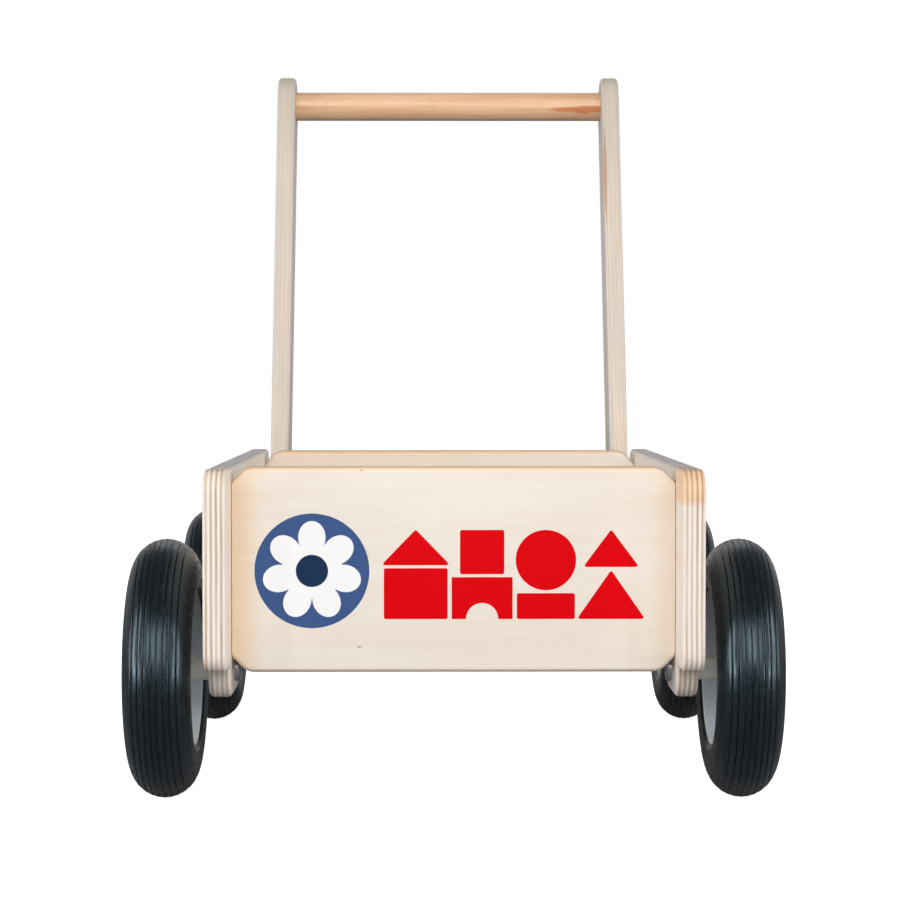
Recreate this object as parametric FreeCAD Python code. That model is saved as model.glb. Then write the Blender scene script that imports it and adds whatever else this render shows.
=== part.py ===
import FreeCAD, Part
import math
import os

# Baby walker: a low plywood push cart on four rubber-tyred wheels, with a
# leaning handle frame at the back.
#
# Frame: millimetres, +Z up. X runs across the cart, +Y from the front
# panel towards the handle. The origin is at the ground, under the middle
# of the overall bounding box.

V = FreeCAD.Vector
os.makedirs("parts", exist_ok=True)

# ------------------------------------------------------------ dimensions
PLY = 12.0            # thickness of every plywood board
EDGE = 2.6            # round-over on the board edges
GAP = 0.3             # clearance between separate boards

Y_SHIFT = -173.32      # front axle line, measured from the frame origin
WHEEL_R = 70.0        # wheel radius, and height of the axles
WHEELBASE = 298.0     # front axle to rear axle
TYRE_X = 155.6        # middle plane of a wheel, from the centre plane
TYRE_W = 36.0         # width of the tyre section
RIM_SEAT_R = 42.0     # radius where the tyre sits on the rim
RIM_X0 = 144.6        # inner end of the rim hub
RIM_X1 = 166.6        # outer end of the rim hub
BUSH_OUT_R = 6.5      # bush outside radius
BORE_R = 4.05         # bush bore radius
BOLT_R = 4.0          # axle bolt radius (M8)
SPACER_R = 6.7        # sleeve between board and wheel
SLEEVE_R = 5.4        # sleeve of the nut, inside the side panel
SLEEVE_L = 8.0
NUT_HEAD_R = 7.5      # flat head of the sleeve nut, on the inner face
NUT_HEAD_T = 2.8

SIDE_X0 = 118.5       # inner face of a side panel
SIDE_X1 = SIDE_X0 + PLY
SIDE_FRONT = -63.0    # front edge of a side panel
SIDE_BACK = 280.0     # back edge of a side panel, at the top
SIDE_TOP = 180.0
SIDE_BOTTOM = 74.0
LOBE_BOTTOM = 56.3

PANEL_TOP = 180.0
PANEL_BOTTOM = 70.3
FRONT_Y0 = -25.0      # front panel, outer face
FRONT_Y1 = FRONT_Y0 + PLY
REAR_Y0 = 241.0       # rear panel, face towards the box
REAR_Y1 = REAR_Y0 + PLY
CORNER_CUT = 8.0      # 45 degree corner cut of front and rear panels
CORNER_R = 9.0        # blend between the cut and the long edges

FLOOR_Z0 = 84.0       # underside of the floor panel
FLOOR_T = 9.0

LEAN = math.radians(19.2)      # handle frame leans back from vertical
POST_W = 40.0                  # width of an upright, along the cart
POST_X1 = SIDE_X0 - 0.05       # outer face of an upright, against the side
POST_X0 = POST_X1 - PLY
POST_Y_AT = 293.4              # upright front face at this height
POST_Z_AT = 182.0
POST_Z_LOW = 88.0              # lower end of the upright (centre line)
POST_Z_HIGH = 434.9            # upper end of the upright (centre line)
BAR_R = 9.8                    # handle bar radius
BAR_POCKET = 5.0               # depth of the pocket that seats the bar
BAR_FROM_TOP = 19.7            # bar axis below the end of the upright

SCREW_R = 2.0         # panel screws
SCREW_HOLE_R = 2.05
HEAD_R = 4.0
FIX_R = 3.0           # handle frame bolts (M6)
FIX_HOLE_R = 3.05


# --------------------------------------------------------------- helpers
def box(x0, x1, y0, y1, z0, z1):
    return Part.makeBox(x1 - x0, y1 - y0, z1 - z0, V(x0, y0, z0))


def cyl_x(r, x0, x1, y, z):
    return Part.makeCylinder(r, x1 - x0, V(x0, y, z), V(1, 0, 0))


def cyl_y(r, y0, y1, x, z):
    return Part.makeCylinder(r, y1 - y0, V(x, y0, z), V(0, 1, 0))


def cone_x(r0, r1, x0, x1, y, z):
    return Part.makeCone(r0, r1, x1 - x0, V(x0, y, z), V(1, 0, 0))


def hexagon_x(af, x0, x1, y, z, turn=0.0):
    pts = []
    rr = af / 2.0 / math.cos(math.pi / 6)
    for k in range(7):
        a = turn + math.pi / 3 * k
        pts.append(V(x0, y + rr * math.cos(a), z + rr * math.sin(a)))
    face = Part.Face(Part.Wire(Part.makePolygon(pts)))
    return face.extrude(V(x1 - x0, 0, 0))


def rounded_outline(points, radii, to3d):
    """Closed outline with an arc of its own radius at every corner."""
    n = len(points)
    edges = []
    joins = []
    for i in range(n):
        p0 = points[(i - 1) % n]
        p = points[i]
        p1 = points[(i + 1) % n]
        ux, uy = p0[0] - p[0], p0[1] - p[1]
        vx, vy = p1[0] - p[0], p1[1] - p[1]
        lu, lv = math.hypot(ux, uy), math.hypot(vx, vy)
        ux, uy, vx, vy = ux / lu, uy / lu, vx / lv, vy / lv
        ang = math.acos(max(-1.0, min(1.0, ux * vx + uy * vy)))
        r = radii[i]
        t = r / math.tan(ang / 2)
        a = (p[0] + ux * t, p[1] + uy * t)
        b = (p[0] + vx * t, p[1] + vy * t)
        bx, by = ux + vx, uy + vy
        lb = math.hypot(bx, by)
        d = r / math.sin(ang / 2)
        m = (p[0] + bx / lb * (d - r), p[1] + by / lb * (d - r))
        joins.append((a, m, b))
    for i in range(n):
        a, m, b = joins[i]
        edges.append(Part.Arc(to3d(*a), to3d(*m), to3d(*b)).toShape())
        nxt = joins[(i + 1) % n][0]
        if math.hypot(nxt[0] - b[0], nxt[1] - b[1]) > 1e-6:
            edges.append(Part.LineSegment(to3d(*b), to3d(*nxt)).toShape())
    return Part.Face(Part.Wire(edges))


def round_over(solid, r):
    """Round every outline edge of a plain board."""
    return solid.makeFillet(r, solid.Edges)


def mirror(shape):
    return shape.mirror(V(0, 0, 0), V(1, 0, 0))


def save(node, shape):
    s = shape.copy()
    s.translate(V(0, Y_SHIFT, 0))
    s.exportStep("parts/" + node + ".step")


def solid_of(shape):
    shape = shape.removeSplitter()
    if len(shape.Solids) == 1:
        return shape.Solids[0]
    return shape


def group(shapes):
    solids = []
    for s in shapes:
        solids.extend(s.Solids)
    return Part.makeCompound(solids)


# ------------------------------------------------ positions of fasteners
AXLES = (0.0, WHEELBASE)
FRONT_SCREWS_Z = (98.0, 156.0)
FRONT_SCREW_Y = (FRONT_Y0 + FRONT_Y1) / 2
REAR_SCREW_Y = (REAR_Y0 + REAR_Y1) / 2
FLOOR_SCREWS_Y = (45.0, 114.0, 183.0)
FLOOR_SCREW_Z = FLOOR_Z0 + FLOOR_T / 2

SIN, COS = math.sin(LEAN), math.cos(LEAN)


def post_point(z, across=0.5):
    """Point of an upright: height of the centre line, share of the width."""
    y_face = POST_Y_AT + (z - POST_Z_AT) * math.tan(LEAN)
    # centre line of the board at this height
    yc = y_face + POST_W / 2 / COS
    off = (across - 0.5) * POST_W
    return (yc + off * COS, z - off * SIN)


LOW_BOLT = post_point(105.0)
HIGH_BOLT = post_point(135.0)

# ----------------------------------------------------------- side panels
to_side = lambda y, z: V(SIDE_X0, y, z)
side_pts = [
    (SIDE_FRONT, SIDE_BOTTOM), (-32.0, SIDE_BOTTOM), (-27.0, LOBE_BOTTOM),
    (27.0, LOBE_BOTTOM), (32.0, SIDE_BOTTOM), (262.0, SIDE_BOTTOM),
    (269.0, LOBE_BOTTOM), (327.0, LOBE_BOTTOM), (336.0, 118.0),
    (SIDE_BACK, SIDE_TOP), (SIDE_FRONT, SIDE_TOP),
]
side_rad = [10.0, 6.0, 14.0, 14.0, 6.0, 8.0, 16.0, 18.0, 24.0, 9.0, 13.0]
side = rounded_outline(side_pts, side_rad, to_side).extrude(V(PLY, 0, 0))
side = round_over(side, EDGE)
for y in AXLES:
    side = side.cut(cyl_x(BOLT_R + 0.05, SIDE_X0 - 1, SIDE_X1 + 1, y, WHEEL_R))
    side = side.cut(cyl_x(SLEEVE_R + 0.05, SIDE_X0 - 1, SIDE_X0 + SLEEVE_L + 0.3, y, WHEEL_R))
side_screws = [(FRONT_SCREW_Y, z) for z in FRONT_SCREWS_Z]
side_screws += [(REAR_SCREW_Y, z) for z in FRONT_SCREWS_Z]
side_screws += [(y, FLOOR_SCREW_Z) for y in FLOOR_SCREWS_Y]
HEAD_D = 2.4          # depth of the countersunk head
for y, z in side_screws:
    side = side.cut(cyl_x(SCREW_HOLE_R, SIDE_X0 - 1, SIDE_X1 + 1, y, z))
    side = side.cut(cone_x(SCREW_HOLE_R, HEAD_R + 0.15, SIDE_X1 - HEAD_D - 0.05,
                           SIDE_X1 + 0.02, y, z))
for y, z in (LOW_BOLT, HIGH_BOLT):
    side = side.cut(cyl_x(FIX_HOLE_R, SIDE_X0 - 1, SIDE_X1 + 1, y, z))
side = solid_of(side)
save("side_panel_right", side)
save("side_panel_left", mirror(side))

# -------------------------------------------------- front and rear panels
PX = SIDE_X0 - GAP


def cross_panel(y0):
    # drawn wider than the opening with every edge rounded over, then trimmed
    # square where the panel butts against the sides
    c, w = CORNER_CUT, 7.0
    a, b = PX - c, PX + w
    pts = [(-a, PANEL_BOTTOM), (a, PANEL_BOTTOM), (b, PANEL_BOTTOM + c + w), (b, PANEL_TOP - c - w),
           (a, PANEL_TOP), (-a, PANEL_TOP), (-b, PANEL_TOP - c - w), (-b, PANEL_BOTTOM + c + w)]
    rad = [CORNER_R, CORNER_R, 4.0, 4.0, CORNER_R, CORNER_R, 4.0, 4.0]
    face = rounded_outline(pts, rad, lambda x, z: V(x, y0, z))
    body = face.extrude(V(0, PLY, 0))
    body = round_over(body, EDGE)
    body = body.common(box(-PX, PX, y0 - 1, y0 + PLY + 1, PANEL_BOTTOM - 1, PANEL_TOP + 1))
    yc = y0 + PLY / 2
    for z in FRONT_SCREWS_Z:
        body = body.cut(cyl_x(SCREW_HOLE_R, PX - 29, PX + 1, yc, z))
        body = body.cut(cyl_x(SCREW_HOLE_R, -PX - 1, -PX + 29, yc, z))
    return solid_of(body)


save("front_panel", cross_panel(FRONT_Y0))
save("rear_panel", cross_panel(REAR_Y0))

# ------------------------------------------------------------ floor panel
FY0, FY1 = FRONT_Y1 + GAP, REAR_Y0 - GAP
floor = box(-PX, PX, FY0, FY1, FLOOR_Z0, FLOOR_Z0 + FLOOR_T)
vertical = [e for e in floor.Edges
            if abs(e.BoundBox.ZLength - FLOOR_T) < 1e-6]
floor = floor.makeFillet(3.0, vertical)
for y in FLOOR_SCREWS_Y:
    floor = floor.cut(cyl_x(1.55, PX - 29, PX + 1, y, FLOOR_SCREW_Z))
    floor = floor.cut(cyl_x(1.55, -PX - 1, -PX + 29, y, FLOOR_SCREW_Z))
save("floor_panel", solid_of(floor))

# ------------------------------------------------------------ panel screws
def screw_x(y, z, r):
    x_top = SIDE_X1 - 0.05
    shank = cyl_x(r, SIDE_X0 - 24, x_top - HEAD_D + 0.01, y, z)
    tip = cone_x(0.4, r, SIDE_X0 - 27, SIDE_X0 - 24, y, z)
    head = cone_x(r, HEAD_R, x_top - HEAD_D, x_top, y, z)
    s = shank.fuse(tip).fuse(head)
    for k in range(2):
        w = box(x_top - 1.3, x_top + 1, y - 2.2, y + 2.2, z - 0.45, z + 0.45)
        w.rotate(V(0, y, z), V(1, 0, 0), 45 + 90 * k)
        s = s.cut(w)
    return solid_of(s)


screws = [screw_x(y, z, SCREW_R if abs(z - FLOOR_SCREW_Z) > 1 else 1.5)
          for y, z in side_screws]
screws_right = group(screws)
save("panel_screws_right", screws_right)
save("panel_screws_left", mirror(screws_right))

# ---------------------------------------------------------------- uprights
def post_outline():
    c_low = post_point(POST_Z_LOW)
    c_high = post_point(POST_Z_HIGH)
    h = POST_W / 2
    pts = [(c_low[0] - h * COS, c_low[1] + h * SIN), (c_low[0] + h * COS, c_low[1] - h * SIN),
           (c_high[0] + h * COS, c_high[1] - h * SIN), (c_high[0] - h * COS, c_high[1] + h * SIN)]
    return pts


BAR_D = BAR_FROM_TOP
c_high = post_point(POST_Z_HIGH)
BAR_Y = c_high[0] - BAR_D * SIN
BAR_Z = c_high[1] - BAR_D * COS
post = rounded_outline(post_outline(), [14.5, 14.5, 19.5, 19.5],
                       lambda y, z: V(POST_X0, y, z)).extrude(V(PLY, 0, 0))
post = round_over(post, EDGE)
post = post.cut(cyl_x(BAR_R + 0.03, POST_X0 - 1, POST_X0 + BAR_POCKET, BAR_Y, BAR_Z))
post = post.cut(cyl_x(2.55, POST_X0, POST_X1 + 1, BAR_Y, BAR_Z))
post = post.cut(cone_x(2.55, HEAD_R + 0.85, POST_X1 - 3.05, POST_X1 + 0.02, BAR_Y, BAR_Z))
for y, z in (LOW_BOLT, HIGH_BOLT):
    post = post.cut(cyl_x(FIX_HOLE_R, POST_X0 - 1, POST_X1 + 1, y, z))
post = solid_of(post)
save("handle_upright_right", post)
save("handle_upright_left", mirror(post))

# --------------------------------------------------------------- handle bar
bar_end = POST_X0 + BAR_POCKET - 0.1
bar = cyl_x(BAR_R, -bar_end, bar_end, BAR_Y, BAR_Z)
bar = bar.makeChamfer(0.8, [e for e in bar.Edges if e.Closed and abs(abs(e.CenterOfMass.x) - bar_end) < 0.01])
for s in (1, -1):
    h = cyl_x(2.05, bar_end - 34, bar_end + 1, BAR_Y, BAR_Z)
    bar = bar.cut(h if s > 0 else mirror(h))
save("handle_bar", solid_of(bar))

# ------------------------------------------------------------ handle screws
x_top = POST_X1 - 0.05
hs = cyl_x(2.0, POST_X0 + BAR_POCKET - 28, x_top - 2.9, BAR_Y, BAR_Z)
hs = hs.fuse(cone_x(0.4, 2.0, POST_X0 + BAR_POCKET - 31, POST_X0 + BAR_POCKET - 28, BAR_Y, BAR_Z))
hs = hs.fuse(cone_x(2.0, HEAD_R + 0.7, x_top - 2.92, x_top, BAR_Y, BAR_Z))
for k in range(2):
    w = box(x_top - 1.4, x_top + 1, BAR_Y - 2.5, BAR_Y + 2.5, BAR_Z - 0.5, BAR_Z + 0.5)
    w.rotate(V(0, BAR_Y, BAR_Z), V(1, 0, 0), 90 * k)
    hs = hs.cut(w)
hs = solid_of(hs)
save("handle_screws", group([hs, mirror(hs)]))

# ------------------------------------- bolts that hold the handle uprights
def dome_x(r, h, x, y, z):
    """Low domed head: flat at x, crown at x + h."""
    big = (r * r + h * h) / (2 * h)
    ball = Part.makeSphere(big, V(x + h - big, y, z))
    keep = cyl_x(r + 1, x, x + h + 1, y, z)
    return ball.common(keep)


def fix_bolt(y, z):
    shank = cyl_x(FIX_R, POST_X0 - 6.2, SIDE_X1 + 0.1, y, z)
    shank = shank.makeChamfer(0.6, [e for e in shank.Edges if e.Closed and abs(e.CenterOfMass.x - (POST_X0 - 6.2)) < 0.01])
    head = cyl_x(6.4, SIDE_X1 + 0.05, SIDE_X1 + 0.95, y, z).fuse(dome_x(6.4, 2.6, SIDE_X1 + 0.9, y, z))
    b = shank.fuse(head)
    b = b.cut(hexagon_x(4.0, SIDE_X1 + 1.6, SIDE_X1 + 6, y, z))
    return solid_of(b)


def fix_nut(y, z):
    x1 = POST_X0 - 0.05
    washer = cyl_x(6.2, x1 - 1.2, x1, y, z)
    nut = hexagon_x(10.0, x1 - 6.1, x1 - 1.15, y, z)
    nut = nut.common(cone_x(5.0, 8.0, x1 - 6.1, x1 - 3.6, y, z).fuse(cyl_x(8.0, x1 - 3.61, x1 - 1.1, y, z)))
    # closed dome over the bolt's end
    dome = Part.makeSphere(4.7, V(x1 - 6.0, y, z)).common(cyl_x(6.0, x1 - 11.0, x1 - 6.0, y, z))
    nut = nut.fuse(dome)
    s = washer.fuse(nut).cut(cyl_x(FIX_R + 0.05, x1 - 7.4, x1 + 1, y, z))
    return solid_of(s)


fix = [fix_bolt(y, z) for y, z in (LOW_BOLT, HIGH_BOLT)]
nuts = [fix_nut(y, z) for y, z in (LOW_BOLT, HIGH_BOLT)]
save("upright_bolts", group(fix + [mirror(s) for s in fix]))
save("upright_nuts", group(nuts + [mirror(s) for s in nuts]))

# ------------------------------------------------------------------ wheels
def revolve_profile(pts, x_mid):
    """Solid of revolution about the axle; pts are (x from mid plane, radius)."""
    wire = Part.makePolygon([V(x_mid + a, 0, r) for a, r in pts] + [V(x_mid + pts[0][0], 0, pts[0][1])])
    return Part.Face(wire).revolve(V(0, 0, 0), V(1, 0, 0), 360)


def tyre_profile():
    """Solid rubber ring: rounded shoulders, shallow ribs round the tread."""
    hw = TYRE_W / 2
    pts = []
    # seat on the rim, with a shallow locking bead
    seat = RIM_SEAT_R + 0.02
    pts += [(-14.6, seat), (-4.0, seat), (-3.0, seat - 1.0), (3.0, seat - 1.0), (4.0, seat), (14.6, seat)]
    # round section from the bead up to the tread
    mid_r = WHEEL_R - hw
    right = []
    n = 22
    a0 = math.asin((seat + 0.6 - mid_r) / hw)
    a1 = math.acos(12.9 / hw)
    for i in range(n + 1):
        a = a0 + (a1 - a0) * i / n
        right.append((hw * math.cos(a), mid_r + hw * math.sin(a)))
    # tread ribs: flat lands with narrow grooves between
    lands = []
    pitch = 3.3
    k0 = -3.5

    def crown_r(x):
        return mid_r + math.sqrt(max(0.0, hw * hw - x * x))
    tread = []
    xs = [(-k0 - k) * pitch for k in range(8)]
    for i, xg in enumerate(xs):
        r = crown_r(xg)
        tread.append((xg + 0.55, crown_r(xg + 0.55)))
        tread.append((xg + 0.28, r - 0.75))
        tread.append((xg - 0.28, r - 0.75))
        tread.append((xg - 0.55, crown_r(xg - 0.55)))
        if i < 7:
            tread.append((xg - pitch / 2, crown_r(xg - pitch / 2)))
    right = [p for p in right if p[0] > xs[0] + 0.7]
    left = [(-x, r) for x, r in reversed(right)]
    return pts + right + tread + left


TYRE_PTS = tyre_profile()


def rim_profile():
    """One-piece plastic rim: hub tube, web and seat flange."""
    s = RIM_SEAT_R
    seat = s - 0.02
    h = (RIM_X1 - RIM_X0) / 2
    hub = 12.5
    bore = BUSH_OUT_R + 0.03
    pts = [(-h, bore), (h, bore), (h, hub - 1.0), (h - 1.0, hub), (5.0, hub + 1.2),
           (3.2, hub + 3.5), (2.6, s - 10.5), (3.4, s - 6.8), (6.0, s - 3.8), (8.0, s - 3.1), (15.3, s - 1.8), (15.9, s - 1.2), (15.9, s - 0.5), (15.4, seat), (4.1, seat),
           (3.2, s - 1.05), (-3.2, s - 1.05), (-4.1, seat), (-15.4, seat), (-15.9, s - 0.5), (-15.9, s - 1.2), (-15.3, s - 1.8), (-8.0, s - 3.1), (-6.0, s - 3.8), (-3.4, s - 6.8),
           (-2.6, s - 10.5), (-3.2, hub + 3.5), (-5.0, hub + 1.2), (-h + 1.0, hub), (-h, hub - 1.0)]
    return pts


def wheel(y, side_sign, tag):
    tyre = revolve_profile(TYRE_PTS, TYRE_X)
    rim = revolve_profile(rim_profile(), TYRE_X)
    # five stiffening ribs on both faces of the web
    hub, s = 12.5, RIM_SEAT_R
    for k in range(5):
        for sx in (1, -1):
            rb = box(TYRE_X + (2.0 if sx > 0 else -7.0), TYRE_X + (7.0 if sx > 0 else -2.0), -1.4, 1.4, hub - 1.0, s - 2.8)
            rb.rotate(V(0, 0, 0), V(1, 0, 0), 72 * k)
            rim = rim.fuse(rb)
    rim = solid_of(rim)
    bush = Part.makeCylinder(BUSH_OUT_R, RIM_X1 - RIM_X0 + 0.6, V(RIM_X0 - 0.3, 0, 0), V(1, 0, 0))
    bush = bush.cut(Part.makeCylinder(BORE_R, 40, V(RIM_X0 - 5, 0, 0), V(1, 0, 0)))
    # axle bolt: domed head outside the wheel, shank through board and wheel
    x_head = RIM_X1 + 0.3 + 0.3 + 1.5 + 0.05
    bolt = cyl_x(BOLT_R, SIDE_X0 + 0.6, x_head + 0.1, 0, 0)
    bolt = bolt.makeChamfer(0.8, [e for e in bolt.Edges if e.Closed and abs(e.CenterOfMass.x - (SIDE_X0 + 0.6)) < 0.01])
    bolt = bolt.fuse(cyl_x(7.0, x_head, x_head + 1.0, 0, 0)).fuse(dome_x(7.0, 3.2, x_head + 0.95, 0, 0))
    bolt = bolt.cut(hexagon_x(5.0, x_head + 1.6, x_head + 8, 0, 0))
    bolt = solid_of(bolt)
    # sleeve between the board and the wheel
    sp = Part.makeCylinder(SPACER_R, RIM_X0 - 0.6 - (SIDE_X1 + 0.05), V(SIDE_X1 + 0.05, 0, 0), V(1, 0, 0))
    sp = sp.makeChamfer(0.5, [e for e in sp.Edges if e.Closed])
    sp = sp.cut(Part.makeCylinder(BOLT_R + 0.08, 40, V(SIDE_X1 - 5, 0, 0), V(1, 0, 0)))
    # sleeve nut: flat head on the inner face, sleeve inside the board
    x1 = SIDE_X0 - 0.05
    nut = cyl_x(NUT_HEAD_R, x1 - NUT_HEAD_T, x1, 0, 0)
    nut = nut.makeChamfer(0.7, [e for e in nut.Edges if e.Closed and abs(e.CenterOfMass.x - (x1 - NUT_HEAD_T)) < 0.01])
    nut = nut.fuse(cyl_x(SLEEVE_R, x1 - 0.1, x1 + SLEEVE_L, 0, 0))
    nut = nut.cut(hexagon_x(5.0, x1 - NUT_HEAD_T - 1, x1 - NUT_HEAD_T + 1.9, 0, 0))
    nut = solid_of(nut.cut(cyl_x(BOLT_R + 0.05, x1 + 0.3, x1 + SLEEVE_L + 1, 0, 0)))
    washer_out = cyl_x(8.0, RIM_X1 + 0.6, RIM_X1 + 2.1, 0, 0).cut(cyl_x(BOLT_R + 0.12, RIM_X1 - 2, RIM_X1 + 6, 0, 0))
    out = {"tyre": tyre, "wheel_rim": rim, "wheel_bush": bush, "axle_bolt": bolt,
           "spacer": sp, "sleeve_nut": nut, "washer_out": washer_out}
    for key in out:
        s_ = out[key].copy()
        if side_sign < 0:
            s_ = mirror(s_)
        s_.translate(V(0, y, WHEEL_R))
        out[key] = s_
    for key in ("tyre", "wheel_rim", "wheel_bush", "axle_bolt", "spacer", "sleeve_nut"):
        save(key + "_" + tag, out[key])
    return out["washer_out"]


outer = []
for y, word in ((0.0, "front"), (WHEELBASE, "rear")):
    for sgn, hand in ((1, "right"), (-1, "left")):
        outer.append(wheel(y, sgn, word + "_" + hand))
save("outer_washers", group(outer))
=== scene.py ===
import math

import bpy
import bmesh
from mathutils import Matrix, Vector


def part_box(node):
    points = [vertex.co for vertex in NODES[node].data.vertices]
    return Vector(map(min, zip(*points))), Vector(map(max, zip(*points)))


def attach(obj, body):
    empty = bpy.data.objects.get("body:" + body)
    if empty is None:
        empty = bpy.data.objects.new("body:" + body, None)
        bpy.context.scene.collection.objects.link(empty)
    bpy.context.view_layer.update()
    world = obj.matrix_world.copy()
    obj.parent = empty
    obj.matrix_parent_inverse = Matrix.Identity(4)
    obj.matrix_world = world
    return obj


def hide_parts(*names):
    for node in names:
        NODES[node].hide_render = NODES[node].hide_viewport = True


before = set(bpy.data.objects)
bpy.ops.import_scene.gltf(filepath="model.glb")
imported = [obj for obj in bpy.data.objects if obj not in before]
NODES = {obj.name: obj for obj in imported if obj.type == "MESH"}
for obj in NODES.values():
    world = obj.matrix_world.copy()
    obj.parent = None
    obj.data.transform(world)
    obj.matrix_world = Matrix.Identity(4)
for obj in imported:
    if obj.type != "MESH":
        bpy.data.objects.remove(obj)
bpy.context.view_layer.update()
MM = 0.001


# ------------------------------------------------------------------ colours
def lin(c):
    c = c / 255.0
    return c / 12.92 if c <= 0.04045 else ((c + 0.055) / 1.055) ** 2.4


def rgb(r, g, b, k=1.0):
    """Display colour to a scene-linear one, times k."""
    return (lin(r) * k, lin(g) * k, lin(b) * k, 1.0)


# ------------------------------------------------------------- node builder
class Mat:
    """A small writer of shader nodes. Lengths in its patterns are millimetres."""

    def __init__(self, name):
        self.m = bpy.data.materials.new(name)
        self.m.use_nodes = True
        self.nt = self.m.node_tree
        self.nt.nodes.clear()
        self.out = self.nt.nodes.new("ShaderNodeOutputMaterial")
        self.b = self.nt.nodes.new("ShaderNodeBsdfPrincipled")
        self.nt.links.new(self.b.outputs[0], self.out.inputs[0])
        self.tc = self.nt.nodes.new("ShaderNodeTexCoord")
        self.obj = self.tc.outputs["Object"]

    def put(self, sock, v):
        if isinstance(v, bpy.types.NodeSocket):
            self.nt.links.new(v, sock)
        elif v is not None:
            sock.default_value = v

    def set(self, **kw):
        for k, v in kw.items():
            self.put(self.b.inputs[k.replace("_", " ")], v)

    def math(self, op, a, b=None, c=None, clamp=False):
        n = self.nt.nodes.new("ShaderNodeMath")
        n.operation, n.use_clamp = op, clamp
        self.put(n.inputs[0], a)
        self.put(n.inputs[1], b)
        self.put(n.inputs[2], c)
        return n.outputs[0]

    def add(self, a, b):
        return self.math("ADD", a, b)

    def mul(self, a, b):
        return self.math("MULTIPLY", a, b)

    def dot(self, v, axis, scale=1000.0, off=0.0):
        """Length of v along axis in millimetres, less off."""
        n = self.nt.nodes.new("ShaderNodeVectorMath")
        n.operation = "DOT_PRODUCT"
        self.put(n.inputs[0], v)
        n.inputs[1].default_value = [a * scale for a in axis]
        return self.add(n.outputs["Value"], -off) if off else n.outputs["Value"]

    def vec(self, x, y, z):
        n = self.nt.nodes.new("ShaderNodeCombineXYZ")
        for i, v in enumerate((x, y, z)):
            self.put(n.inputs[i], v)
        return n.outputs[0]

    def noise(self, v, scale=1.0, detail=3.0, rough=0.5, dist=0.0):
        n = self.nt.nodes.new("ShaderNodeTexNoise")
        n.noise_dimensions = "3D"
        self.put(n.inputs["Vector"], v)
        self.put(n.inputs["Scale"], scale)
        self.put(n.inputs["Detail"], detail)
        self.put(n.inputs["Roughness"], rough)
        self.put(n.inputs["Distortion"], dist)
        return n.outputs[0]

    def range(self, v, a, b, lo=0.0, hi=1.0, smooth=False):
        n = self.nt.nodes.new("ShaderNodeMapRange")
        n.clamp = True
        if smooth:
            n.interpolation_type = "SMOOTHSTEP"
        self.put(n.inputs[0], v)
        for i, x in enumerate((a, b, lo, hi)):
            n.inputs[i + 1].default_value = x
        return n.outputs[0]

    def mix(self, f, a, b, how="MIX"):
        n = self.nt.nodes.new("ShaderNodeMix")
        n.data_type, n.blend_type = "RGBA", how
        self.put(n.inputs[0], f)
        self.put(n.inputs[6], a)
        self.put(n.inputs[7], b)
        return n.outputs[2]

    def shade(self, col, f):
        """Colour times a grey factor."""
        n = self.nt.nodes.new("ShaderNodeVectorMath")
        n.operation = "SCALE"
        self.put(n.inputs[0], col if isinstance(col, bpy.types.NodeSocket) else tuple(col)[:3])
        self.put(n.inputs[3], f)
        return n.outputs[0]

    def bump(self, h, distance, strength=1.0):
        n = self.nt.nodes.new("ShaderNodeBump")
        n.inputs["Strength"].default_value = strength
        n.inputs["Distance"].default_value = distance
        self.put(n.inputs["Height"], h)
        self.put(self.b.inputs["Normal"], n.outputs[0])


# ------------------------------------------------------------------- timber
FACE = rgb(249, 241, 231, 0.95)
FACE_2 = rgb(245, 232, 215, 0.93)
PLY_LIGHT = rgb(252, 243, 232, 0.96)
PLY_DARK = rgb(204, 170, 144, 0.92)
GLUE = rgb(172, 132, 104, 0.85)


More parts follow.
